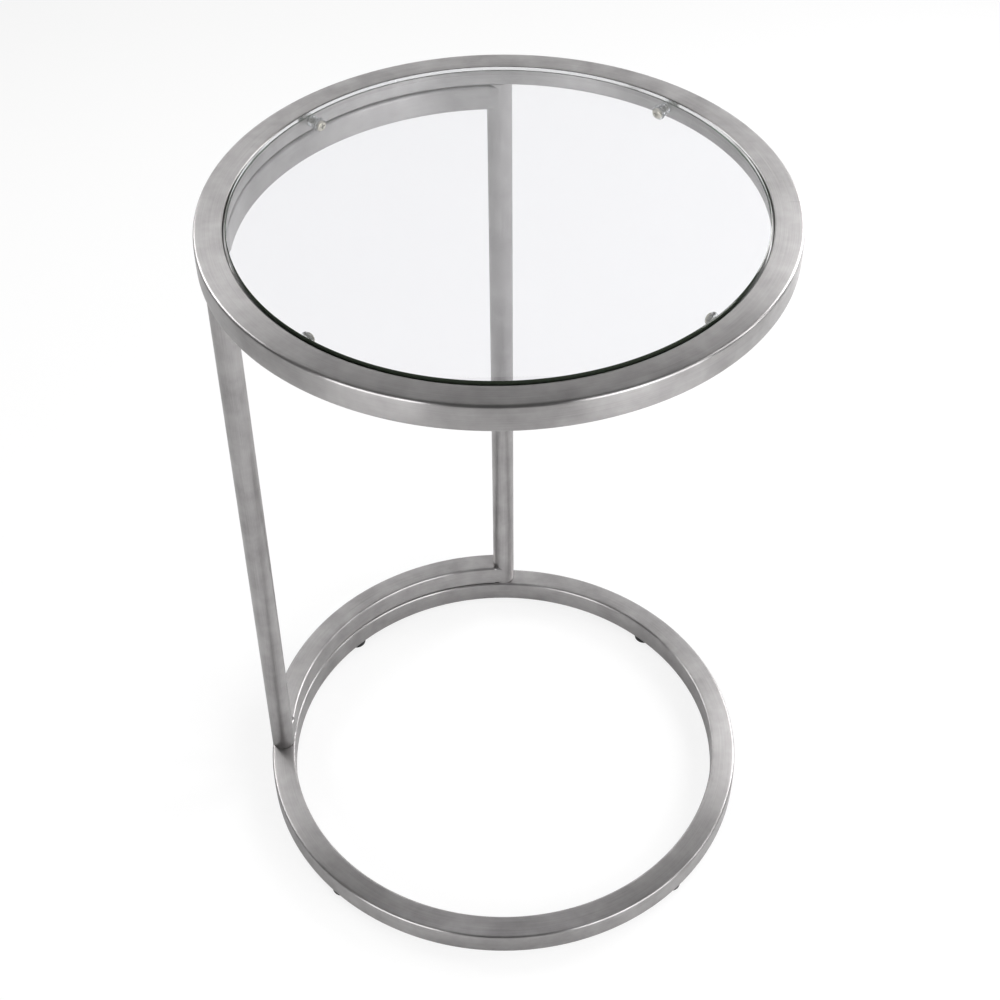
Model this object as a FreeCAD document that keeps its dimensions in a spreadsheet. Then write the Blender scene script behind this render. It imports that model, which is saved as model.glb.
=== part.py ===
import FreeCAD, Part
import Sketcher
import os

# Round side table: two rolled rings of square tube, held one above the other by two round legs
# that stand on the same quarter of the circle. Curved pieces of the same square tube lie under
# the top ring and on the base ring between the legs. A pane of glass drops into the top ring.
# Millimetres, +Z up, origin on the floor under the centre of the rings, front towards -Y.

SIZES = [
    ("frame_height", 578.0),               # floor to the top face of the top ring
    ("ring_diameter", 400.0),              # outside of both rings
    ("tube_side", 20.0),                   # square tube of the rings and the arcs
    ("tube_wall", 1.2),
    ("tube_corner", 1.8),                  # outer corner radius of the square tube
    ("leg_diameter", 19.0),                # round tube of the legs
    ("leg_wall", 1.2),
    ("leg_end_chamfer", 0.5),
    ("left_leg_azimuth", 180.4),           # degrees from +X, seen from above
    ("rear_leg_azimuth", 88.6),
    ("weld_start_share", 0.05),            # where the weld filler starts between leg axis and arc end
    ("weld_setback", 1.0),                 # of the filler below the tube's upper and lower face
    ("glass_thickness", 8.0),
    ("glass_proud", 1.2),                  # pane's top face above the ring's
    ("glass_edge_gap", 1.0),               # between the pane's edge and the ring
    ("glass_seat_gap", 0.3),               # between the pane and its bumpers
    ("glass_arris", 0.6),                  # ground edge of the pane
    ("bumper_flange_diameter", 10.4),
    ("bumper_flange_length", 2.4),
    ("bumper_flange_round", 0.7),
    ("bumper_neck_diameter", 7.6),
    ("bumper_neck_length", 1.2),
    ("bumper_body_diameter", 8.8),
    ("bumper_body_length", 5.0),
    ("bumper_recess_diameter", 8.4),
    ("bumper_recess_depth", 0.8),
    ("bumper_azimuth_back_right", 47.0),
    ("bumper_azimuth_back_left", 136.5),
    ("bumper_azimuth_front_left", 226.7),
    ("bumper_azimuth_front_right", 318.8),
    ("small_screw_diameter", 4.0),         # bumper screws
    ("small_screw_length", 16.0),          # under the head
    ("small_head_diameter", 8.0),
    ("small_head_height", 2.8),
    ("small_head_round", 1.4),
    ("small_nut_flange_diameter", 8.2),    # rivet nuts of the bumper screws
    ("small_nut_flange", 0.8),
    ("small_nut_barrel_diameter", 5.9),
    ("small_nut_bulge_diameter", 7.8),
    ("small_nut_bulge_length", 3.0),
    ("small_nut_length", 9.5),             # behind the flange
    ("frame_bolt_diameter", 5.0),          # bolts between each ring and its arc
    ("frame_bolt_reach", 8.0),             # past the seam, into the rivet nut
    ("frame_head_diameter", 9.0),
    ("frame_head_height", 2.8),
    ("frame_head_round", 1.2),
    ("frame_socket_width", 3.4),           # across the corners of the hexagon
    ("frame_socket_depth", 1.6),
    ("frame_bolt_spread", 26.0),           # degrees from the middle of the arc
    ("frame_nut_flange_diameter", 8.4),
    ("frame_nut_flange", 1.0),
    ("frame_nut_barrel_diameter", 6.9),
    ("frame_nut_bulge_diameter", 8.8),
    ("frame_nut_bulge_length", 3.5),
    ("frame_nut_length", 11.0),
    ("foot_height", 6.0),                  # floor to the underside of the base ring
    ("foot_top_diameter", 18.0),
    ("foot_floor_diameter", 16.4),
    ("foot_edge_round", 1.0),
    ("foot_recess_diameter", 8.6),
    ("foot_recess_depth", 3.0),
    ("foot_first_azimuth", 45.0),
    ("foot_screw_diameter", 3.9),
    ("foot_screw_length", 12.0),
    ("foot_head_diameter", 7.4),
    ("foot_head_height", 2.4),
    ("foot_head_round", 0.8),
    ("cross_slot_width", 1.0),             # cross recess of the small screws
    ("cross_slot_span", 4.2),
    ("cross_slot_depth", 1.3),
    ("fastener_clearance", 0.1),           # on the diameter of a screw or nut in its hole
    ("nut_grip_clearance", 0.1),
    ("cut_overrun", 2.0),
]

# Places and sizes that follow from the ones above.
DERIVED = [
    ("ring_radius", "=ring_diameter / 2"),
    ("ring_inside", "=ring_radius - tube_side"),
    ("leg_radius", "=leg_diameter / 2"),
    ("tube_line", "=ring_radius - tube_side / 2"),
    ("leg_line", "=ring_radius - leg_radius"),
    ("base_top", "=foot_height + tube_side"),
    ("top_under", "=frame_height - tube_side"),
    ("lower_arc_under", "=base_top + frame_nut_flange"),
    ("upper_arc_under", "=top_under - frame_nut_flange - tube_side"),
    ("leg_half_angle", "=asin(leg_radius / leg_line) / 1 deg"),
    ("arc_start", "=rear_leg_azimuth + leg_half_angle"),
    ("arc_sweep", "=left_leg_azimuth - rear_leg_azimuth - 2 * leg_half_angle"),
    ("arc_middle", "=(left_leg_azimuth + rear_leg_azimuth) / 2"),
    ("weld_gap_angle", "=weld_start_share * leg_half_angle"),
    ("weld_sweep", "=leg_half_angle - weld_gap_angle"),
    ("glass_radius", "=ring_inside - glass_edge_gap"),
    ("glass_under", "=frame_height + glass_proud - glass_thickness"),
    ("bumper_axis_height", "=glass_under - glass_seat_gap - bumper_flange_diameter / 2"),
    ("bumper_length", "=bumper_flange_length + bumper_neck_length + bumper_body_length"),
    ("small_nut_seat", "=sqrt(ring_inside ^ 2 - (small_nut_flange_diameter / 2) ^ 2)"),
    ("small_nut_face", "=small_nut_seat - small_nut_flange"),
    ("bumper_face", "=small_nut_face - bumper_length"),
    ("small_head_seat", "=bumper_face + bumper_recess_depth"),
    ("frame_bolt_length", "=tube_side + frame_nut_flange + frame_bolt_reach"),
]

document = FreeCAD.newDocument("side_table")
sheet = document.addObject("Spreadsheet::Sheet", "dims")
for row, (alias, value) in enumerate(SIZES + DERIVED, start=1):
    cell = "A%d" % row
    sheet.set(cell, str(value))
    sheet.setAlias(cell, alias)
document.recompute()

nodes = []


def amount(expression):
    """Value of an expression of sheet cells, as a plain number."""
    value = sheet.evalExpression(expression)
    return float(getattr(value, "Value", value))


def cells(expression):
    """The same expression, written for an object outside the sheet."""
    words = {alias for alias, _ in SIZES + DERIVED}
    parts = []
    word = ""
    for letter in expression + " ":
        if letter.isalnum() or letter == "_":
            word += letter
        else:
            parts.append("dims." + word if word in words else word)
            parts.append(letter)
            word = ""
    return "".join(parts).strip()


def bind(thing, **expressions):
    """Tie properties to the sheet."""
    for name, expression in expressions.items():
        thing.setExpression(name, cells(expression))


def put(thing, radius="0", azimuth="0", height="0", outward=True):
    """Place a thing on a circle about the table's axis, turned so that its own +X points outwards."""
    thing.setExpression("Placement.Base.x", cells("(%s) * cos(%s)" % (radius, azimuth)))
    thing.setExpression("Placement.Base.y", cells("(%s) * sin(%s)" % (radius, azimuth)))
    thing.setExpression("Placement.Base.z", cells(height))
    if outward:
        thing.Placement.Rotation = FreeCAD.Rotation(FreeCAD.Vector(0, 0, 1), amount(azimuth))
        thing.setExpression("Placement.Rotation.Angle", cells(azimuth))


def keep(thing, label):
    """Hand a finished piece in under its own name."""
    thing.Label = label
    nodes.append(thing)
    return thing


def new_body(name):
    return document.addObject("PartDesign::Body", name)


def new_sketch(body, name, role):
    sketch = body.newObject("Sketcher::SketchObject", name)
    plane = [item for item in body.Origin.OriginFeatures if item.Role == role][0]
    sketch.AttachmentSupport = (plane, [""])
    sketch.MapMode = "FlatFace"
    return sketch


def draw_outline(sketch, corners):
    """Closed outline through corners, each a pair of expressions of sheet cells."""
    places = [FreeCAD.Vector(amount(across), amount(up), 0) for across, up in corners]
    last = len(corners) - 1
    for index, place in enumerate(places):
        following = places[0 if index == last else index + 1]
        sketch.addGeometry(Part.LineSegment(place, following), False)
    for index in range(len(corners)):
        following = 0 if index == last else index + 1
        sketch.addConstraint(Sketcher.Constraint("Coincident", index, 2, following, 1))
    for index, (across, up) in enumerate(corners):
        for kind, axis, expression in (("DistanceX", -2, across), ("DistanceY", -1, up)):
            if expression == "0":
                sketch.addConstraint(Sketcher.Constraint("PointOnObject", index, 1, axis))
            else:
                held = Sketcher.Constraint(kind, index, 1, amount(expression))
                number = sketch.addConstraint(held)
                sketch.setExpression("Constraints[%d]" % number, cells(expression))


def draw_circle(sketch, radius):
    """Circle about the sketch's origin."""
    centre = FreeCAD.Vector(0, 0, 0)
    number = sketch.addGeometry(Part.Circle(centre, FreeCAD.Vector(0, 0, 1), amount(radius)), False)
    sketch.addConstraint(Sketcher.Constraint("Coincident", number, 3, -1, 1))
    held = sketch.addConstraint(Sketcher.Constraint("Radius", number, amount(radius)))
    sketch.setExpression("Constraints[%d]" % held, cells(radius))


def spin(body, kind, sketch, axis, angle="360"):
    """Revolution or groove of a sketch about one of its own axes."""
    feature = body.newObject("PartDesign::" + kind, body.Name + "_" + kind)
    feature.Profile = sketch
    feature.ReferenceAxis = (sketch, [axis])
    feature.Angle = amount(angle)
    bind(feature, Angle=angle)
    document.recompute()
    return feature


def dress(body, kind, base, wanted, **expressions):
    """Fillet or chamfer on the edges of the base that are wanted."""
    names = ["Edge%d" % number for number, edge in enumerate(base.Shape.Edges, start=1) if wanted(edge)]
    feature = body.newObject("PartDesign::" + kind, body.Name + "_" + kind)
    feature.Base = (base, names)
    bind(feature, **expressions)
    document.recompute()
    return feature


def is_round(edge, radius, along=None, place=None):
    """True for a circle of this radius, at this place along the axis if one is given."""
    if not isinstance(edge.Curve, Part.Circle):
        return False
    same = abs(edge.Curve.Radius - amount(radius)) < edge.Curve.Radius * 1e-6
    if place is None:
        return same
    return same and abs(getattr(edge.Curve.Center, along) - amount(place)) < edge.Curve.Radius * 1e-6


def rolled_tube(name, sweep):
    """Square tube rolled to the rings' circle, from its own +X round by the sweep."""
    body = new_body(name)
    outside = new_sketch(body, name + "_outside", "XZ_Plane")
    draw_outline(outside, [("ring_inside", "0"), ("ring_radius", "0"),
                           ("ring_radius", "tube_side"), ("ring_inside", "tube_side")])
    solid = spin(body, "Revolution", outside, "V_Axis", sweep)
    full = solid.Shape.Volume
    inside = new_sketch(body, name + "_inside", "XZ_Plane")
    near = "ring_inside + tube_wall"
    far = "ring_radius - tube_wall"
    draw_outline(inside, [(near, "tube_wall"), (far, "tube_wall"),
                          (far, "tube_side - tube_wall"), (near, "tube_side - tube_wall")])
    hollow = spin(body, "Groove", inside, "V_Axis", sweep)
    if not hollow.Shape.Volume < full:
        raise RuntimeError(name + " was not hollowed")
    outer = dress(body, "Fillet", hollow,
                  lambda edge: is_round(edge, "ring_radius") or is_round(edge, "ring_inside"),
                  Radius="tube_corner")
    dress(body, "Fillet", outer, lambda edge: is_round(edge, near) or is_round(edge, far),
          Radius="tube_corner - tube_wall")
    return body


def turned(name, profile, along):
    """Piece turned on a lathe: profile pairs are (place along the axis, radius)."""
    body = new_body(name)
    sketch = new_sketch(body, name + "_profile", "XZ_Plane")
    if along == "x":
        draw_outline(sketch, profile)
        spin(body, "Revolution", sketch, "H_Axis")
    else:
        draw_outline(sketch, [(radius, place) for place, radius in profile])
        spin(body, "Revolution", sketch, "V_Axis")
    return body


def drilled(base, tools, name):
    """A piece with holes: the base with every tool cut away."""
    joined = tools[0]
    if len(tools) > 1:
        joined = document.addObject("Part::MultiFuse", name + "_holes")
        joined.Shapes = tools
    cut = document.addObject("Part::Cut", name + "_drilled")
    cut.Base = base
    cut.Tool = joined
    return cut


def foot_azimuth(number):
    """Direction of a foot: the feet share the circle equally."""
    return "foot_first_azimuth + %d * 360 / %d" % (number, len(FOOT_PLACES))


def upright_pin(name, diameter, azimuth, start, length):
    """Upright cylinder on the line of the tubes, for a hole."""
    pin = document.addObject("Part::Cylinder", name)
    bind(pin, Radius="(%s) / 2" % diameter, Height=length)
    put(pin, "tube_line", azimuth, start, outward=False)
    return pin


def rivet_nut(name, prefix, along):
    """Set rivet nut: flange outside the wall, barrel through it, bulge behind it."""
    bore = "%s / 2" % BOLT_OF_NUT[prefix]
    barrel = prefix + "_nut_barrel_diameter / 2"
    bulge = prefix + "_nut_bulge_diameter / 2"
    flange = prefix + "_nut_flange_diameter / 2"
    wall_front = prefix + "_nut_flange"
    wall_back = wall_front + " + tube_wall + nut_grip_clearance"
    bulge_end = wall_back + " + " + prefix + "_nut_bulge_length"
    end = wall_front + " + " + prefix + "_nut_length"
    profile = [("0", bore), ("0", flange), (wall_front, flange), (wall_front, barrel),
               (wall_back, barrel), (wall_back, bulge), (bulge_end, bulge), (bulge_end, barrel),
               (end, barrel), (end, bore)]
    return turned(name, profile, along)


def round_head_screw(name, prefix, length, along):
    """Screw from the face of its head towards its tip, the head's rim rounded."""
    head = prefix + "_head_height"
    rim = prefix + "_head_diameter / 2"
    shank = "%s / 2 - fastener_clearance / 2" % SHANK_OF_HEAD[prefix]
    tip = "%s + %s" % (head, length)
    body = turned(name, [("0", "0"), ("0", rim), (head, rim), (head, shank), (tip, shank),
                         (tip, "0")], along)
    dress(body, "Fillet", body.Tip, lambda edge: is_round(edge, rim, along, "0"),
          Radius=prefix + "_head_round")
    return body


def cross_recess(name, along):
    """Two crossed slots sunk into the face of a screw head."""
    slots = []
    for turn, (wide, tall) in enumerate((("span", "width"), ("width", "span"))):
        slot = document.addObject("Part::Box", "%s_slot_%d" % (name, turn))
        depth = "cross_slot_depth + cut_overrun"
        wide = "cross_slot_" + wide
        tall = "cross_slot_" + tall
        if along == "x":
            bind(slot, Length=depth, Width=wide, Height=tall)
            ends = ("Base.x", "-cut_overrun"), ("Base.y", "-%s / 2" % wide), ("Base.z", "-%s / 2" % tall)
        else:
            bind(slot, Length=wide, Width=tall, Height=depth)
            ends = ("Base.x", "-%s / 2" % wide), ("Base.y", "-%s / 2" % tall), ("Base.z", "-cut_overrun")
        for place, expression in ends:
            slot.setExpression("Placement." + place, cells(expression))
        slots.append(slot)
    return slots


BOLT_OF_NUT = {"small": "small_screw_diameter", "frame": "frame_bolt_diameter"}
SHANK_OF_HEAD = {"small": "small_screw_diameter", "foot": "foot_screw_diameter",
                 "frame": "frame_bolt_diameter"}
BUMPER_PLACES = ("back_right", "back_left", "front_left", "front_right")
FOOT_PLACES = ("back_right", "back_left", "front_left", "front_right")
BOLT_SIDES = {"rear": "arc_middle - frame_bolt_spread", "left": "arc_middle + frame_bolt_spread"}
LEGS = {"rear": "rear_leg_azimuth", "left": "left_leg_azimuth"}
ARCS = {"upper": "upper_arc_under", "lower": "lower_arc_under"}


def make_rings():
    """Top and base ring, with the holes that their nuts, bolts and screws go through."""
    nut_hole = "frame_nut_barrel_diameter + fastener_clearance"
    bolt_hole = "frame_bolt_diameter + fastener_clearance"
    top = rolled_tube("top_ring_tube", "360")
    put(top, height="top_under")
    holes = []
    for place in BUMPER_PLACES:
        reach = "tube_wall + 2 * cut_overrun"
        radius = "(small_nut_barrel_diameter + fastener_clearance) / 2"
        hole = turned("bumper_hole_" + place, [("0", "0"), ("0", radius), (reach, radius), (reach, "0")],
                      "x")
        put(hole, "ring_inside - cut_overrun", "bumper_azimuth_" + place, "bumper_axis_height")
        holes.append(hole)
    for side, azimuth in BOLT_SIDES.items():
        holes.append(upright_pin("top_nut_hole_" + side, nut_hole, azimuth,
                                 "top_under - cut_overrun", "tube_wall + 2 * cut_overrun"))
    keep(drilled(top, holes, "top_ring"), "top_ring")

    base = rolled_tube("base_ring_tube", "360")
    put(base, height="foot_height")
    holes = []
    for side, azimuth in BOLT_SIDES.items():
        holes.append(upright_pin("base_bolt_hole_" + side, bolt_hole, azimuth,
                                 "foot_height - cut_overrun", "tube_side + 2 * cut_overrun"))
    for number, place in enumerate(FOOT_PLACES):
        holes.append(upright_pin("foot_screw_hole_" + place, "foot_screw_diameter + fastener_clearance",
                                 foot_azimuth(number),
                                 "foot_height - cut_overrun", "tube_wall + 2 * cut_overrun"))
    keep(drilled(base, holes, "base_ring"), "base_ring")


def make_arcs():
    """Curved tubes between the legs, one under the top ring and one on the base ring."""
    for name, under in ARCS.items():
        arc = rolled_tube(name + "_arc_tube", "arc_sweep")
        put(arc, azimuth="arc_start", height=under)
        holes = []
        for side, azimuth in BOLT_SIDES.items():
            hole_name = "%s_arc_hole_%s" % (name, side)
            if name == "upper":
                holes.append(upright_pin(hole_name, "frame_bolt_diameter + fastener_clearance", azimuth,
                                         under + " - cut_overrun", "tube_side + 2 * cut_overrun"))
            else:
                holes.append(upright_pin(hole_name, "frame_nut_barrel_diameter + fastener_clearance",
                                         azimuth, under + " - cut_overrun",
                                         "tube_wall + 2 * cut_overrun"))
        keep(drilled(arc, holes, name + "_arc"), name + "_arc")


def make_legs():
    """Round tubes that stand on the base ring and carry the top ring."""
    length = "top_under - base_top"
    for side, azimuth in LEGS.items():
        body = new_body(side + "_leg_tube")
        sketch = new_sketch(body, side + "_leg_section", "XY_Plane")
        draw_circle(sketch, "leg_radius")
        draw_circle(sketch, "leg_radius - leg_wall")
        pad = body.newObject("PartDesign::Pad", side + "_leg_pad")
        pad.Profile = sketch
        bind(pad, Length=length)
        document.recompute()
        dress(body, "Chamfer", pad, lambda edge: is_round(edge, "leg_radius"), Size="leg_end_chamfer")
        put(body, "leg_line", azimuth, "base_top", outward=False)
        keep(body, side + "_leg")


def make_welds():
    """Filler between each flat arc end and the round leg, ground flush with the tube's two sides."""
    starts = {"rear": "rear_leg_azimuth + weld_gap_angle", "left": "left_leg_azimuth - leg_half_angle"}
    top = "tube_side - weld_setback"
    for name, under in ARCS.items():
        for side, azimuth in LEGS.items():
            label = "%s_%s_weld" % (name, side)
            sector = new_body(label + "_sector")
            section = new_sketch(sector, label + "_section", "XZ_Plane")
            draw_outline(section, [("ring_inside", "weld_setback"), ("ring_radius", "weld_setback"),
                                   ("ring_radius", top), ("ring_inside", top)])
            swept = spin(sector, "Revolution", section, "V_Axis", "weld_sweep")
            dress(sector, "Fillet", swept,
                  lambda edge: is_round(edge, "ring_radius") or is_round(edge, "ring_inside"),
                  Radius="tube_corner - weld_setback")
            put(sector, azimuth=starts[side], height=under)
            leg = document.addObject("Part::Cylinder", label + "_leg")
            bind(leg, Radius="leg_radius", Height="tube_side")
            put(leg, "leg_line", azimuth, under, outward=False)
            keep(drilled(sector, [leg], label), label)


def make_glass():
    """Round pane that stands slightly proud of the top ring, with a ground edge."""
    body = new_body("glass_pane")
    sketch = new_sketch(body, "glass_outline", "XY_Plane")
    draw_circle(sketch, "glass_radius")
    pad = body.newObject("PartDesign::Pad", "glass_pad")
    pad.Profile = sketch
    bind(pad, Length="glass_thickness")
    document.recompute()
    dress(body, "Chamfer", pad, lambda edge: is_round(edge, "glass_radius"), Size="glass_arris")
    put(body, height="glass_under", outward=False)
    keep(body, "glass_top")


def make_bumpers():
    """Clear spools that carry the pane, each on a screw in a rivet nut in the ring's inner wall."""
    flange = "bumper_flange_diameter / 2"
    neck = "bumper_neck_diameter / 2"
    spool = "bumper_body_diameter / 2"
    recess = "bumper_recess_diameter / 2"
    bore = "(small_screw_diameter + fastener_clearance) / 2"
    neck_end = "bumper_flange_length + bumper_neck_length"
    profile = [("0", recess), ("0", flange), ("bumper_flange_length", flange),
               ("bumper_flange_length", neck), (neck_end, neck), (neck_end, spool),
               ("bumper_length", spool), ("bumper_length", bore), ("bumper_recess_depth", bore),
               ("bumper_recess_depth", recess)]
    for place in BUMPER_PLACES:
        azimuth = "bumper_azimuth_" + place
        bumper = turned("bumper_spool_" + place, profile, "x")
        dress(bumper, "Fillet", bumper.Tip, lambda edge: is_round(edge, flange),
              Radius="bumper_flange_round")
        put(bumper, "bumper_face", azimuth, "bumper_axis_height")
        keep(bumper, "glass_bumper_" + place)

        name = "bumper_screw_" + place
        screw = round_head_screw(name + "_blank", "small", "small_screw_length", "x")
        screw = drilled(screw, cross_recess(name, "x"), name)
        put(screw, "small_head_seat - small_head_height", azimuth, "bumper_axis_height")
        keep(screw, name)

        nut = rivet_nut("bumper_nut_" + place, "small", "x")
        put(nut, "small_nut_face", azimuth, "bumper_axis_height")
        keep(nut, "bumper_rivet_nut_" + place)


def make_frame_bolts():
    """Two bolts from below through each lower tube, into rivet nuts in the tube above it."""
    heads = {"upper": "upper_arc_under", "lower": "foot_height"}
    seams = {"upper": "top_under - frame_nut_flange", "lower": "base_top"}
    for level in ARCS:
        for side, azimuth in BOLT_SIDES.items():
            name = "%s_%s_frame_bolt" % (level, side)
            bolt = round_head_screw(name + "_blank", "frame", "frame_bolt_length", "z")
            socket = document.addObject("Part::Prism", name + "_socket")
            socket.Polygon = 6
            bind(socket, Circumradius="frame_socket_width / 2",
                 Height="frame_socket_depth + cut_overrun")
            socket.setExpression("Placement.Base.z", cells("-cut_overrun"))
            bolt = drilled(bolt, [socket], name)
            put(bolt, "tube_line", azimuth, heads[level] + " - frame_head_height", outward=False)
            keep(bolt, name)

            nut = rivet_nut("%s_%s_nut" % (level, side), "frame", "z")
            put(nut, "tube_line", azimuth, seams[level], outward=False)
            keep(nut, "%s_%s_frame_nut" % (level, side))


def make_feet():
    """Round pads under the base ring, each held by a screw sunk into its underside."""
    top = "foot_top_diameter / 2"
    floor = "foot_floor_diameter / 2"
    recess = "foot_recess_diameter / 2"
    bore = "(foot_screw_diameter + fastener_clearance) / 2"
    profile = [("0", recess), ("0", floor), ("foot_height", top), ("foot_height", bore),
               ("foot_recess_depth", bore), ("foot_recess_depth", recess)]
    for number, place in enumerate(FOOT_PLACES):
        azimuth = foot_azimuth(number)
        foot = turned("foot_pad_" + place, profile, "z")
        dress(foot, "Fillet", foot.Tip, lambda edge: is_round(edge, floor, "z", "0"),
              Radius="foot_edge_round")
        put(foot, "tube_line", azimuth, "0", outward=False)
        keep(foot, "foot_" + place)

        name = "foot_screw_" + place
        screw = round_head_screw(name + "_blank", "foot", "foot_screw_length", "z")
        screw = drilled(screw, cross_recess(name, "z"), name)
        put(screw, "tube_line", azimuth, "foot_recess_depth - foot_head_height", outward=False)
        keep(screw, name)


make_rings()
make_arcs()
make_legs()
make_welds()
make_glass()
make_bumpers()
make_frame_bolts()
make_feet()
document.recompute()

for thing in document.Objects:
    if "Invalid" in thing.State or "Error" in thing.State:
        raise RuntimeError("%s failed: %s" % (thing.Label, thing.State))
for node in nodes:
    if node.Shape.isNull() or not node.Shape.isValid():
        raise RuntimeError(node.Label + " has no valid shape")

os.makedirs("parts", exist_ok=True)
for node in nodes:
    node.Shape.exportStep("parts/%s.step" % node.Label)
    box = node.Shape.BoundBox
    print("%-28s solids %d  volume %9.1f  x %7.1f %7.1f  y %7.1f %7.1f  z %6.1f %6.1f" % (
        node.Label, len(node.Shape.Solids), node.Shape.Volume,
        box.XMin, box.XMax, box.YMin, box.YMax, box.ZMin, box.ZMax))
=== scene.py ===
"""Round side table of brushed stainless square tube with a clear glass top that drops into its upper
ring. A C-shaped frame of two round legs and two quarter-circle tubes joins the top ring to the base
ring, so one side stays open. Metres, +Z up, floor at 0, front towards -Y."""
import math

import bmesh
import bpy
from mathutils import Matrix, Vector


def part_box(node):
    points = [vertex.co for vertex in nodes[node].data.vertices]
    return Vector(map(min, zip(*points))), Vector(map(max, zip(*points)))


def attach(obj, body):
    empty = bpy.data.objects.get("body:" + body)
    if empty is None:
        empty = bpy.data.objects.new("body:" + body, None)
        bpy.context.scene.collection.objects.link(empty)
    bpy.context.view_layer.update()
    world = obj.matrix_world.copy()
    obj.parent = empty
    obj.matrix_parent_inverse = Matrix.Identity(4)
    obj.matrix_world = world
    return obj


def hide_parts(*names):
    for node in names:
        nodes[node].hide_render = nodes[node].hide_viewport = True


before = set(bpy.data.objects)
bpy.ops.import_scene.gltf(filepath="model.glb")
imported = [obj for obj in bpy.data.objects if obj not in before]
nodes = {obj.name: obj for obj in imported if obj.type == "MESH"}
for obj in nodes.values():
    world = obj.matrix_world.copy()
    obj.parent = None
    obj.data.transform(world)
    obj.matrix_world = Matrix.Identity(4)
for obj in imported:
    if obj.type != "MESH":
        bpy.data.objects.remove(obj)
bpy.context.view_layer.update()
MM = 0.001

# Camera and studio. The photograph was taken from above the front, about 42 degrees down, in a white
# studio: a white floor that curves up into a backdrop, five upright softboxes round the table, which
# draw the thin bright lines on the tubes' corners, and a dim room above and behind the camera.
LENS = 63.055
SENSOR_WIDTH = 36.0
CAMERA_PLACE = (-0.01124, -0.95842, 1.23628)
CAMERA_YAW = -0.0162
CAMERA_PITCH = 0.7373
CAMERA_ROLL = -0.0288
CAMERA_SHIFT = (0.03642, -0.05308)
FLOOR_HALF = 12.0
FLOOR_WHITE = "#F4F4F4"
EYE_WHITE = 1.05
EYE_SHARE = 0.75
BACKDROP_GLOW = 0.22
BACKDROP_AWAY = 1.40
BACKDROP_TOP = 1.90
BACKDROP_HALF = 1.40
BACKDROP_CURVE = 0.40
CURVE_STEPS = 12
ROOM_DIM = 0.20
ROOM_WHITE = 1.0
SOFTBOXES = (
    ("left_rear_softbox", (-1.35, 1.05, 1.75), (0.9, 1.6), 24.0),
    ("right_rear_softbox", (1.35, 1.05, 1.25), (0.9, 1.6), 31.0),
    ("left_front_softbox", (-1.35, -1.55, 0.80), (1.2, 1.5), 24.0),
    ("right_front_softbox", (1.25, -1.15, 0.95), (1.3, 1.6), 27.0),
    ("right_side_softbox", (1.45, 0.00, 1.40), (0.4, 1.5), 8.0),
)


def linear(hex_colour):
    """sRGB hex to the linear colour that a shader takes."""
    values = []
    for start in (1, 3, 5):
        share = int(hex_colour[start:start + 2], 16) / 255.0
        values.append(share / 12.92 if share <= 0.04045 else ((share + 0.055) / 1.055) ** 2.4)
    return (*values, 1.0)


def add(tree, kind, inputs=None, **settings):
    """Adds a node. Inputs are given by name or number, as a value or as the output to link."""
    node = tree.nodes.new(kind)
    for name, value in settings.items():
        setattr(node, name, value)
    for name, value in (inputs or {}).items():
        if isinstance(value, bpy.types.NodeSocket):
            tree.links.new(value, node.inputs[name])
        else:
            node.inputs[name].default_value = value
    return node


def new_material(name):
    """An empty node material."""
    material = bpy.data.materials.new(name)
    material.use_nodes = True
    material.node_tree.nodes.clear()
    return material, material.node_tree


def seen_by_eye(tree):
    """1 for a ray from the camera or one that came through glass, 0 for what metal and gloss see."""
    rays = add(tree, "ShaderNodeLightPath")
    eye = add(tree, "ShaderNodeMath", {0: rays.outputs["Is Camera Ray"],
                                       1: rays.outputs["Is Transmission Ray"]}, operation="MAXIMUM")
    return eye.outputs[0]


camera_data = bpy.data.cameras.new("camera")
camera_data.lens = LENS
camera_data.sensor_width = SENSOR_WIDTH
camera_data.shift_x = CAMERA_SHIFT[0]
camera_data.shift_y = CAMERA_SHIFT[1]
camera = bpy.data.objects.new("camera", camera_data)
bpy.context.collection.objects.link(camera)
forward = Vector((math.sin(CAMERA_YAW) * math.cos(CAMERA_PITCH),
                  math.cos(CAMERA_YAW) * math.cos(CAMERA_PITCH), -math.sin(CAMERA_PITCH)))
level = Vector((math.cos(CAMERA_YAW), -math.sin(CAMERA_YAW), 0.0))
above = level.cross(forward)
across = level * math.cos(CAMERA_ROLL) + above * math.sin(CAMERA_ROLL)
upward = above * math.cos(CAMERA_ROLL) - level * math.sin(CAMERA_ROLL)
turn = Matrix((across, upward, -forward)).transposed().to_4x4()
camera.matrix_world = Matrix.Translation(CAMERA_PLACE) @ turn
bpy.context.scene.camera = camera
bpy.context.scene.view_settings.view_transform = "Standard"


def stage_sheet(name, line, half_width):
    """A sheet that follows a line of (y, z) places and is this wide to each side of the middle."""
    corners = [(side * half_width, y, z) for y, z in line for side in (-1, 1)]
    faces = [(2 * n, 2 * n + 1, 2 * n + 3, 2 * n + 2) for n in range(len(line) - 1)]
    mesh = bpy.data.meshes.new(name)
    mesh.from_pydata(corners, [], faces)
    sheet = bpy.data.objects.new(name, mesh)
    bpy.context.collection.objects.link(sheet)
    return sheet


floor = stage_sheet("floor", [(-FLOOR_HALF, 0), (FLOOR_HALF, 0)], FLOOR_HALF)
quarter = [math.radians(90 * step / CURVE_STEPS) for step in range(CURVE_STEPS + 1)]
curve = [(BACKDROP_AWAY - BACKDROP_CURVE * (1 - math.sin(angle)), BACKDROP_CURVE * (1 - math.cos(angle)))
         for angle in quarter]
backdrop = stage_sheet("backdrop", [(y, z + MM) for y, z in curve] + [(BACKDROP_AWAY, BACKDROP_TOP)],
                       BACKDROP_HALF)
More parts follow.
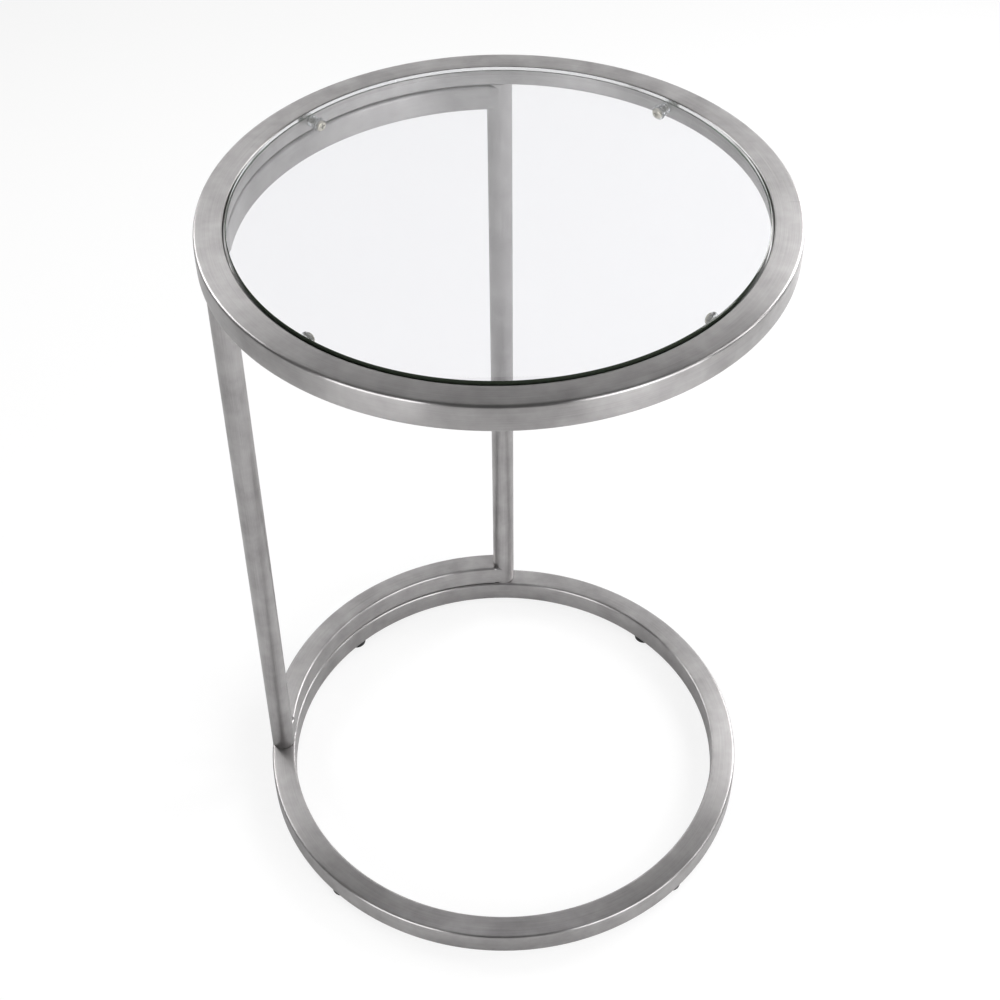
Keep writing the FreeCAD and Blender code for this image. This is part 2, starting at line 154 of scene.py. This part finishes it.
# Only metal and gloss see the backdrop: the eye looks past it at the white floor and room, from behind too.
backdrop.visible_camera = False
backdrop.visible_transmission = False
backdrop.visible_diffuse = False
backdrop.visible_shadow = False

# White studio paper. The metal sees it as the lamps light it, shadows and all. To the eye, also through
# the glass, most of its light is its own, so that it shows as white with a faint shadow. The backdrop
# glows a little more, as lit paper with a lamp of its own does.
for sheet, name, glow in ((floor, "white studio paper", 0.0),
                          (backdrop, "lit studio backdrop", BACKDROP_GLOW)):
    paper, tree = new_material(name)
    share = add(tree, "ShaderNodeMath", {0: seen_by_eye(tree), 1: EYE_SHARE}, operation="MULTIPLY")
    matt = add(tree, "ShaderNodeBsdfDiffuse", {"Color": linear(FLOOR_WHITE)})
    lamp_light = add(tree, "ShaderNodeEmission", {"Strength": glow})
    lit = add(tree, "ShaderNodeAddShader", {0: matt.outputs[0], 1: lamp_light.outputs[0]})
    shine = add(tree, "ShaderNodeEmission", {"Strength": EYE_WHITE})
    both = add(tree, "ShaderNodeMixShader", {0: share.outputs[0], 1: lit.outputs[0],
                                             2: shine.outputs[0]})
    add(tree, "ShaderNodeOutputMaterial", {"Surface": both.outputs[0]})
    sheet.data.materials.append(paper)

# The room is dark to the metal and white to the eye.
world = bpy.data.worlds.new("studio room")
bpy.context.scene.world = world
world.use_nodes = True
tree = world.node_tree
tree.nodes.clear()
strength = add(tree, "ShaderNodeMapRange", {"Value": seen_by_eye(tree), "To Min": ROOM_DIM,
                                            "To Max": ROOM_WHITE})
room = add(tree, "ShaderNodeBackground", {"Strength": strength.outputs[0]})
add(tree, "ShaderNodeOutputWorld", {"Surface": room.outputs[0]})

for name, place, (width, height), watts in SOFTBOXES:
    lamp_data = bpy.data.lights.new(name, "AREA")
    lamp_data.shape = "RECTANGLE"
    lamp_data.size = width
    lamp_data.size_y = height
    lamp_data.energy = watts
    lamp = bpy.data.objects.new(name, lamp_data)
    bpy.context.collection.objects.link(lamp)
    lamp.location = place
    aim = Vector((0.0, 0.0, place[2])) - Vector(place)
    lamp.rotation_euler = aim.to_track_quat("-Z", "Y").to_euler()
    lamp.visible_camera = False
    lamp.visible_transmission = False

# Rings and arcs. Rolled 20 mm square stainless tube, brushed along its length after rolling: two full
# circles, and two quarter circles that lie under the top ring and on the base ring, bolted with 1 mm of
# rivet nut flange between. The rolling leaves each face very slightly crowned between round corners.
RING_RADIUS = 200 * MM
TUBE_SIDE = 20 * MM
TUBE_CORNER = 1.8 * MM
FACE_CROWN = 0.12 * MM
CORNER_POINTS = 8
FACE_CUTS = 5
RING_STEPS = 289
ARC_STEPS = 81
LEG_RADIUS = 9.5 * MM
LEG_LINE = RING_RADIUS - LEG_RADIUS
REAR_LEG = math.radians(88.6)
LEFT_LEG = math.radians(180.4)
LEG_HALF_ANGLE = math.asin(LEG_RADIUS / LEG_LINE)
STEEL_LIGHT = "#A9A7A7"
STEEL_DARK = "#918F8F"
BRUSH_LENGTH = 45 * MM
BRUSH_WIDTH = 0.45 * MM
BRUSH_DEPTH = 0.02 * MM
BRUSH_BUMP = 0.12
BRUSH_SHARE = 0.4
PATCHES_PER_METRE = 45.0
PATCH_SHARE = 0.6
PATTERN = {"Detail": 3.0, "Roughness": 0.6}
TONES_FROM = (0.35, 0.65)
GLOSS_FROM = (0.3, 0.7)
STEEL_ROUGHNESS = (0.33, 0.28)
HIGHLIGHT_STRETCH = 0.80
QUARTER_TURN = 0.25
WAVE_LENGTH = 18 * MM
WAVE_DEPTH = 0.06 * MM
WAVE_DETAIL = 1.0
SEAM_CLOSED = 0.001 * MM
SHARP_EDGE = math.radians(40)


def two_tones(tree, factor, first, second):
    """A colour between two. Inputs 6 and 7 are a colour mix's two colours, and output 2 its result."""
    mix = add(tree, "ShaderNodeMix", {"Factor": factor}, data_type="RGBA")
    mix.inputs[6].default_value = linear(first)
    mix.inputs[7].default_value = linear(second)
    return mix.outputs[2]


def brushed_steel(name, round_tube=False):
    """Stainless steel with a satin finish, brushed along the tube: fine streaks that follow the tube, a
    highlight that spreads across them, faint cloudy patches where the belt pressed harder, and the very
    shallow waves that rolling and brushing leave. A ring's streaks run round the Z axis, a leg's run up
    it. Real scratches are about 0.05 mm wide, too fine to show, so they are drawn nine times as wide."""
    material, tree = new_material(name)
    place = add(tree, "ShaderNodeTexCoord")
    if round_tube:
        along = add(tree, "ShaderNodeCombineXYZ", {2: 1.0})
        stretched = add(tree, "ShaderNodeMapping", {"Vector": place.outputs["Object"],
                                                    "Scale": (1 / BRUSH_WIDTH, 1 / BRUSH_WIDTH,
                                                              1 / BRUSH_LENGTH)})
        streaks = add(tree, "ShaderNodeTexNoise", {"Vector": stretched.outputs[0], "Scale": 1.0, **PATTERN})
    else:
        xyz = add(tree, "ShaderNodeSeparateXYZ", {0: place.outputs["Object"]})
        flat = add(tree, "ShaderNodeVectorMath", {0: place.outputs["Object"], 1: (1.0, 1.0, 0.0)},
                   operation="MULTIPLY")
        out = add(tree, "ShaderNodeVectorMath", {0: flat.outputs[0]}, operation="NORMALIZE")
        radius = add(tree, "ShaderNodeVectorMath", {0: flat.outputs[0]}, operation="LENGTH")
        along = add(tree, "ShaderNodeVectorMath", {0: (0.0, 0.0, 1.0), 1: out.outputs[0]},
                    operation="CROSS_PRODUCT")
        # Streaks follow the circle: slow along it, fast across the radius and the height.
        ring_way = add(tree, "ShaderNodeVectorMath",
                       {0: out.outputs[0], "Scale": RING_RADIUS / BRUSH_LENGTH}, operation="SCALE")
        ring_parts = add(tree, "ShaderNodeSeparateXYZ", {0: ring_way.outputs[0]})
        fine_radius = add(tree, "ShaderNodeMath", {0: radius.outputs["Value"], 1: 1 / BRUSH_WIDTH},
                          operation="MULTIPLY")
        fine_height = add(tree, "ShaderNodeMath", {0: xyz.outputs["Z"], 1: 1 / BRUSH_WIDTH},
                          operation="MULTIPLY")
        stretched = add(tree, "ShaderNodeCombineXYZ", {0: ring_parts.outputs[0], 1: ring_parts.outputs[1],
                                                       2: fine_radius.outputs[0]})
        streaks = add(tree, "ShaderNodeTexNoise", {"Vector": stretched.outputs[0],
                                                   "W": fine_height.outputs[0], "Scale": 1.0, **PATTERN},
                      noise_dimensions="4D")
    patches = add(tree, "ShaderNodeTexNoise", {"Vector": place.outputs["Object"],
                                               "Scale": PATCHES_PER_METRE, **PATTERN})
    waves = add(tree, "ShaderNodeTexNoise", {"Vector": place.outputs["Object"], "Scale": 1 / WAVE_LENGTH,
                                             "Detail": WAVE_DETAIL})
    tone = add(tree, "ShaderNodeMath", {0: patches.outputs["Fac"], 1: PATCH_SHARE}, operation="MULTIPLY")
    tone = add(tree, "ShaderNodeMath", {0: streaks.outputs["Fac"], 1: BRUSH_SHARE, 2: tone.outputs[0]},
               operation="MULTIPLY_ADD")
    spread = add(tree, "ShaderNodeMapRange", {"Value": tone.outputs[0], "From Min": TONES_FROM[0],
                                              "From Max": TONES_FROM[1]})
    colour = two_tones(tree, spread.outputs[0], STEEL_DARK, STEEL_LIGHT)
    rough = add(tree, "ShaderNodeMapRange", {"Value": tone.outputs[0],
                                             "From Min": GLOSS_FROM[0], "From Max": GLOSS_FROM[1],
                                             "To Min": STEEL_ROUGHNESS[0], "To Max": STEEL_ROUGHNESS[1]})
    uneven = add(tree, "ShaderNodeBump", {"Height": waves.outputs["Fac"], "Strength": 1.0,
                                          "Distance": WAVE_DEPTH})
    bump = add(tree, "ShaderNodeBump", {"Height": streaks.outputs["Fac"], "Strength": BRUSH_BUMP,
                                        "Distance": BRUSH_DEPTH, "Normal": uneven.outputs[0]})
    shader = add(tree, "ShaderNodeBsdfPrincipled",
                 {"Base Color": colour, "Metallic": 1.0, "Roughness": rough.outputs[0],
                  "Normal": bump.outputs[0], "Anisotropic": HIGHLIGHT_STRETCH,
                  "Anisotropic Rotation": QUARTER_TURN, "Tangent": along.outputs[0]})
    add(tree, "ShaderNodeOutputMaterial", {"Surface": shader.outputs[0]})
    return material


ring_steel = brushed_steel("stainless steel brushed round the ring")

tube_tree = bpy.data.node_groups.new("rolled square tube", "GeometryNodeTree")
TUBE_INPUTS = {}
for name, kind in (("Line Radius", "NodeSocketFloat"), ("Side", "NodeSocketFloat"),
                   ("Corner", "NodeSocketFloat"), ("Crown", "NodeSocketFloat"),
                   ("Start", "NodeSocketFloat"), ("Sweep", "NodeSocketFloat"),
                   ("Line Height", "NodeSocketFloat"), ("Steps", "NodeSocketInt"),
                   ("Capped", "NodeSocketBool"), ("Finish", "NodeSocketMaterial")):
    socket = tube_tree.interface.new_socket(name, in_out="INPUT", socket_type=kind)
    TUBE_INPUTS[name] = socket.identifier
tube_tree.interface.new_socket("Mesh", in_out="OUTPUT", socket_type="NodeSocketGeometry")
sizes = add(tube_tree, "NodeGroupInput")
line = add(tube_tree, "GeometryNodeCurveArc",
           {"Resolution": sizes.outputs["Steps"], "Radius": sizes.outputs["Line Radius"],
            "Start Angle": sizes.outputs["Start"], "Sweep Angle": sizes.outputs["Sweep"]}, mode="RADIUS")
crowns = add(tube_tree, "ShaderNodeMath", {0: sizes.outputs["Crown"], 1: 2.0}, operation="MULTIPLY")
side = add(tube_tree, "ShaderNodeMath", {0: sizes.outputs["Side"], 1: crowns.outputs[0]},
           operation="SUBTRACT")
square = add(tube_tree, "GeometryNodeCurvePrimitiveQuadrilateral",
             {"Width": side.outputs[0], "Height": side.outputs[0]})
cut = add(tube_tree, "GeometryNodeSubdivideCurve", {"Curve": square.outputs[0], "Cuts": FACE_CUTS})
# Only the four real corners are rounded: the cuts on the faces lie on a straight line.
rounded = add(tube_tree, "GeometryNodeFilletCurve",
              {"Curve": cut.outputs[0], "Count": CORNER_POINTS, "Radius": sizes.outputs["Corner"],
               "Limit Radius": False}, mode="POLY")
spot = add(tube_tree, "GeometryNodeInputPosition")
spot_parts = add(tube_tree, "ShaderNodeSeparateXYZ", {0: spot.outputs[0]})
half = add(tube_tree, "ShaderNodeMath", {0: side.outputs[0], 1: 0.5}, operation="MULTIPLY")
face_half = add(tube_tree, "ShaderNodeMath", {0: half.outputs[0], 1: sizes.outputs["Corner"]},
                operation="SUBTRACT")
pushes = []
for this, other in ((0, 1), (1, 0)):
    share = add(tube_tree, "ShaderNodeMath", {0: spot_parts.outputs[other], 1: face_half.outputs[0]},
                operation="DIVIDE")
    squared = add(tube_tree, "ShaderNodeMath", {0: share.outputs[0], 1: share.outputs[0]},
                  operation="MULTIPLY")
    rise = add(tube_tree, "ShaderNodeMath", {0: 1.0, 1: squared.outputs[0]}, operation="SUBTRACT",
               use_clamp=True)
    way = add(tube_tree, "ShaderNodeMath", {0: spot_parts.outputs[this]}, operation="SIGN")
    push = add(tube_tree, "ShaderNodeMath", {0: rise.outputs[0], 1: way.outputs[0]},
               operation="MULTIPLY")
    pushes.append(add(tube_tree, "ShaderNodeMath", {0: push.outputs[0], 1: sizes.outputs["Crown"]},
                      operation="MULTIPLY"))
offset = add(tube_tree, "ShaderNodeCombineXYZ", {0: pushes[0].outputs[0], 1: pushes[1].outputs[0]})
section = add(tube_tree, "GeometryNodeSetPosition", {"Geometry": rounded.outputs[0],
                                                     "Offset": offset.outputs[0]})
tube = add(tube_tree, "GeometryNodeCurveToMesh",
           {"Curve": line.outputs[0], "Profile Curve": section.outputs[0],
            "Fill Caps": sizes.outputs["Capped"]})
lift = add(tube_tree, "ShaderNodeCombineXYZ", {2: sizes.outputs["Line Height"]})
lifted = add(tube_tree, "GeometryNodeSetPosition", {"Geometry": tube.outputs[0],
                                                    "Offset": lift.outputs[0]})
closed = add(tube_tree, "GeometryNodeMergeByDistance", {"Geometry": lifted.outputs[0],
                                                        "Distance": SEAM_CLOSED})
smooth = add(tube_tree, "GeometryNodeSetShadeSmooth", {"Geometry": closed.outputs[0]})
real = add(tube_tree, "GeometryNodeRealizeInstances", {"Geometry": smooth.outputs[0]})
painted = add(tube_tree, "GeometryNodeSetMaterial", {"Geometry": real.outputs[0],
                                                     "Material": sizes.outputs["Finish"]})
add(tube_tree, "NodeGroupOutput", {0: painted.outputs[0]})


def whole(shape, name):
    """Turns the faces of a bmesh outwards, makes its edges crisp and returns it as a plain object."""
    bmesh.ops.recalc_face_normals(shape, faces=shape.faces)
    mesh = bpy.data.meshes.new(name)
    shape.to_mesh(mesh)
    shape.free()
    mesh.shade_smooth()
    mesh.set_sharp_from_angle(angle=SHARP_EDGE)
    piece = bpy.data.objects.new(name, mesh)
    bpy.context.collection.objects.link(piece)
    return piece


def grow(name, tree, identifiers, values):
    """Runs a node tree on an empty mesh with these inputs and returns the result as a plain object."""
    seed = bpy.data.objects.new(name + " seed", bpy.data.meshes.new(name + " seed"))
    bpy.context.collection.objects.link(seed)
    modifier = seed.modifiers.new("grow", "NODES")
    modifier.node_group = tree
    for label, value in values.items():
        modifier[identifiers[label]] = value
    shaped = seed.evaluated_get(bpy.context.evaluated_depsgraph_get())
    grown = bpy.data.meshes.new_from_object(shaped)
    bpy.data.objects.remove(seed)
    finishes = list(grown.materials)
    shape = bmesh.new()
    shape.from_mesh(grown)
    bpy.data.meshes.remove(grown)
    piece = whole(shape, name)
    for finish in finishes:
        piece.data.materials.append(finish)
    return piece


for name, start, sweep, steps in (
        ("top_ring", 0.0, 2 * math.pi, RING_STEPS),
        ("base_ring", 0.0, 2 * math.pi, RING_STEPS),
        ("upper_arc", REAR_LEG + LEG_HALF_ANGLE, LEFT_LEG - REAR_LEG - 2 * LEG_HALF_ANGLE, ARC_STEPS),
        ("lower_arc", REAR_LEG + LEG_HALF_ANGLE, LEFT_LEG - REAR_LEG - 2 * LEG_HALF_ANGLE, ARC_STEPS)):
    low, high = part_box(name)
    piece = grow("brushed_" + name, tube_tree, TUBE_INPUTS, {
        "Line Radius": RING_RADIUS - TUBE_SIDE / 2, "Side": TUBE_SIDE, "Corner": TUBE_CORNER,
        "Crown": FACE_CROWN, "Start": start, "Sweep": sweep, "Line Height": (low[2] + high[2]) / 2,
        "Steps": steps, "Capped": "arc" in name, "Finish": ring_steel})
    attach(piece, "frame")
    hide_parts(name)

# Legs. Round stainless tube, 19 mm wide, brushed lengthwise. They stand on the base ring and reach the
# underside of the top ring, welded to the ends of the two arcs.
leg_steel = brushed_steel("stainless steel brushed up the leg", round_tube=True)
for name in ("rear_leg", "left_leg"):
    nodes[name].data.materials[0] = leg_steel

# Welds. Stainless filler between the arc ends and the round legs, ground flush: the arc's inner face
# runs on into the innermost line of the leg, and the filler's top and bottom lie a little lower than
# the tube's, which leaves a small notch beside the leg.
WELD_SECTIONS = 14
WELD_DIP = 1.0 * MM
DIP_AT_ARC = 0.3
DIP_RUN = 0.3
LEG_INSET = RING_RADIUS - TUBE_SIDE - (LEG_LINE - LEG_RADIUS)
SINK = 0.04 * MM
weld_steel = brushed_steel("ground stainless weld")


def weld_section(azimuth, share, low_z, high_z):
    """Rounded section of the filler, this share of the way from the arc's end to the leg's middle."""
    eased = share * share * (3 - 2 * share)
    inner = RING_RADIUS - TUBE_SIDE + eased * (SINK - LEG_INSET)
    outer = RING_RADIUS - eased * SINK
    dip = WELD_DIP * (DIP_AT_ARC + (1 - DIP_AT_ARC) * min(1.0, share / DIP_RUN))
    corners = []
    for quadrant, (radial, height) in enumerate(((outer, high_z - dip), (inner, high_z - dip),
                                                 (inner, low_z + dip), (outer, low_z + dip))):
        radial_way = 1 if radial == outer else -1
        height_way = 1 if height > low_z + TUBE_SIDE / 2 else -1
        for step in range(CORNER_POINTS):
            angle = math.radians(90 * (quadrant + step / (CORNER_POINTS - 1)))
            r = radial - radial_way * TUBE_CORNER + TUBE_CORNER * math.cos(angle)
            z = height - height_way * TUBE_CORNER + TUBE_CORNER * math.sin(angle)
            corners.append((r * math.cos(azimuth), r * math.sin(azimuth), z))
    return corners


for level_name in ("upper", "lower"):
    for side_name, leg_azimuth, way in (("rear", REAR_LEG, 1), ("left", LEFT_LEG, -1)):
        weld_name = "%s_%s_weld" % (level_name, side_name)
        arc_low, arc_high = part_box(level_name + "_arc")
        shape = bmesh.new()
        rings = []
        for n in range(WELD_SECTIONS):
            share = n / (WELD_SECTIONS - 1)
            section = weld_section(leg_azimuth + way * LEG_HALF_ANGLE * (1 - share), share,
                                   arc_low[2], arc_high[2])
            rings.append([shape.verts.new(corner) for corner in section])
        for ring, following in zip(rings, rings[1:]):
            for n in range(len(ring)):
                beside = (n + 1) % len(ring)
                shape.faces.new((ring[n], ring[beside], following[beside], following[n]))
        shape.faces.new(rings[0])
        shape.faces.new(rings[-1])
        weld = whole(shape, "ground_" + weld_name)
        weld.data.materials.append(weld_steel)
        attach(weld, "frame")
        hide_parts(weld_name)

# Glass top. Clear 8 mm float glass, cut round, with a finely ground edge. It drops into the top ring and
# lies loose on the four bumpers. Float glass holds a little iron, so a long way through it looks green:
# the flat is clear and the edge dark green.
GLASS_IOR = 1.52
IRON_GREEN = "#89DDB8"
IRON_DENSITY = 6.0
GLASS_TINT = "#F6F3F7"
EDGE_TINT = "#5F6A5A"
EDGE_ROUGHNESS = 0.12
EDGE_CLARITY = 0.75
GLASS_ARRIS = 0.6 * MM
FLAT_FACE = 0.9
PANE_STEPS = 256
pane_finishes = []
for name, tint, rough, clear in (("clear float glass", GLASS_TINT, 0.0, 1.0),
                                 ("ground edge of float glass", EDGE_TINT, EDGE_ROUGHNESS, EDGE_CLARITY)):
    glass, tree = new_material(name)
    shader = add(tree, "ShaderNodeBsdfPrincipled",
                 {"Base Color": linear(tint), "Roughness": rough, "IOR": GLASS_IOR,
                  "Transmission Weight": clear})
    iron = add(tree, "ShaderNodeVolumeAbsorption", {"Color": linear(IRON_GREEN), "Density": IRON_DENSITY})
    add(tree, "ShaderNodeOutputMaterial", {"Surface": shader.outputs[0], "Volume": iron.outputs[0]})
    pane_finishes.append(glass)


def lathe(name, profile, steps):
    """Turns (radius, height) pairs round the table's axis and closes both ends with a disc."""
    shape = bmesh.new()
    rows = []
    for radius, z in profile:
        rows.append([shape.verts.new((radius * math.cos(2 * math.pi * n / steps),
                                      radius * math.sin(2 * math.pi * n / steps), z))
                     for n in range(steps)])
    for low_row, high_row in zip(rows, rows[1:]):
        for n in range(steps):
            following = (n + 1) % steps
            shape.faces.new((low_row[n], low_row[following], high_row[following], high_row[n]))
    shape.faces.new(rows[0])
    shape.faces.new(rows[-1])
    return whole(shape, name)


low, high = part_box("glass_top")
pane_radius = high[0]
pane = lathe("glass_pane", [(pane_radius - GLASS_ARRIS, low[2]), (pane_radius, low[2] + GLASS_ARRIS),
                            (pane_radius, high[2] - GLASS_ARRIS), (pane_radius - GLASS_ARRIS, high[2])],
             PANE_STEPS)
for finish in pane_finishes:
    pane.data.materials.append(finish)
for face in pane.data.polygons:
    on_edge = abs(face.normal.z) < FLAT_FACE
    face.material_index = 1 if on_edge else 0
    face.use_smooth = on_edge
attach(pane, "glass")
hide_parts("glass_top")

# Glass bumpers. Clear moulded plastic spools on the ring's inner wall that carry the pane. Each is held
# by a nickel plated pan head screw in its face, which threads into a zinc plated rivet nut behind.
PLACES = ("back_right", "back_left", "front_left", "front_right")
PLASTIC_TINT = "#F2F5F5"
PLASTIC_IOR = 1.46
PLASTIC_ROUGHNESS = (0.02, 0.08)
HAZE_PER_METRE = 900.0
NICKEL_TONES = ("#A8A59B", "#C8C4B6")
NICKEL_ROUGHNESS = (0.10, 0.24)
NICKEL_GRAIN_PER_METRE = 1500.0
ZINC_TONES = ("#A9ACB0", "#C3C6C9")
ZINC_ROUGHNESS = (0.25, 0.45)
ZINC_SPANGLE_PER_METRE = 700.0
FINE_DETAIL = 2.0
COARSE_DETAIL = 3.0


def specks_of(tree, per_metre, detail, roughness):
    """A fine pattern in the piece's own space, and a roughness that follows it between two values."""
    place = add(tree, "ShaderNodeTexCoord")
    specks = add(tree, "ShaderNodeTexNoise", {"Vector": place.outputs["Object"], "Scale": per_metre,
                                              "Detail": detail})
    rough = add(tree, "ShaderNodeMapRange", {"Value": specks.outputs["Fac"], "To Min": roughness[0],
                                             "To Max": roughness[1]})
    return specks.outputs["Fac"], rough.outputs[0]


def speckled(name, per_metre, detail, tones, roughness, metallic):
    """A finish whose tone and gloss change a little from speck to speck."""
    material, tree = new_material(name)
    specks, rough = specks_of(tree, per_metre, detail, roughness)
    tint = two_tones(tree, specks, tones[0], tones[1])
    shader = add(tree, "ShaderNodeBsdfPrincipled",
                 {"Base Color": tint, "Roughness": rough, "Metallic": metallic})
    add(tree, "ShaderNodeOutputMaterial", {"Surface": shader.outputs[0]})
    return material, tree, specks, shader


# Water clear with a breath of mould haze, so the steel behind it shows bent and a little soft.
plastic, tree = new_material("clear moulded plastic")
rough = specks_of(tree, HAZE_PER_METRE, FINE_DETAIL, PLASTIC_ROUGHNESS)[1]
shader = add(tree, "ShaderNodeBsdfPrincipled",
             {"Base Color": linear(PLASTIC_TINT), "Roughness": rough, "IOR": PLASTIC_IOR,
              "Transmission Weight": 1.0})
add(tree, "ShaderNodeOutputMaterial", {"Surface": shader.outputs[0]})

# Warm and bright, with small sharp glints.
screw_metal = speckled("nickel plated screw", NICKEL_GRAIN_PER_METRE, FINE_DETAIL, NICKEL_TONES,
                       NICKEL_ROUGHNESS, 1.0)[0]
# Cool and half dull, with a faint spangle.
zinc_metal = speckled("zinc plated steel", ZINC_SPANGLE_PER_METRE, COARSE_DETAIL, ZINC_TONES,
                      ZINC_ROUGHNESS, 1.0)[0]
for corner_name in PLACES:
    nodes["glass_bumper_" + corner_name].data.materials[0] = plastic
    nodes["bumper_screw_" + corner_name].data.materials[0] = screw_metal
    nodes["bumper_rivet_nut_" + corner_name].data.materials[0] = zinc_metal

# Frame bolts. Zinc plated bolts that hold each arc to its ring from below, and the rivet nuts in the tube
# walls that they thread into.
for level_name in ("upper", "lower"):
    for side_name in ("rear", "left"):
        nodes["%s_%s_frame_bolt" % (level_name, side_name)].data.materials[0] = zinc_metal
        nodes["%s_%s_frame_nut" % (level_name, side_name)].data.materials[0] = zinc_metal

# Feet. Black rubber pads under the base ring, moulded with a round edge and held by a zinc plated screw
# through the middle. The rubber is matt with a fine mould texture and a little floor dust.
RUBBER_TONES = ("#121212", "#232323")
RUBBER_ROUGHNESS = (0.5, 0.75)
MOULD_PER_METRE = 1200.0
MOULD_BUMP = 0.3
MOULD_DEPTH = 0.05 * MM
rubber, tree, mould, shader = speckled("black moulded rubber", MOULD_PER_METRE, COARSE_DETAIL,
                                       RUBBER_TONES, RUBBER_ROUGHNESS, 0.0)
bump = add(tree, "ShaderNodeBump", {"Height": mould, "Strength": MOULD_BUMP, "Distance": MOULD_DEPTH})
tree.links.new(bump.outputs[0], shader.inputs["Normal"])
for corner_name in PLACES:
    nodes["foot_" + corner_name].data.materials[0] = rubber
    nodes["foot_screw_" + corner_name].data.materials[0] = zinc_metal
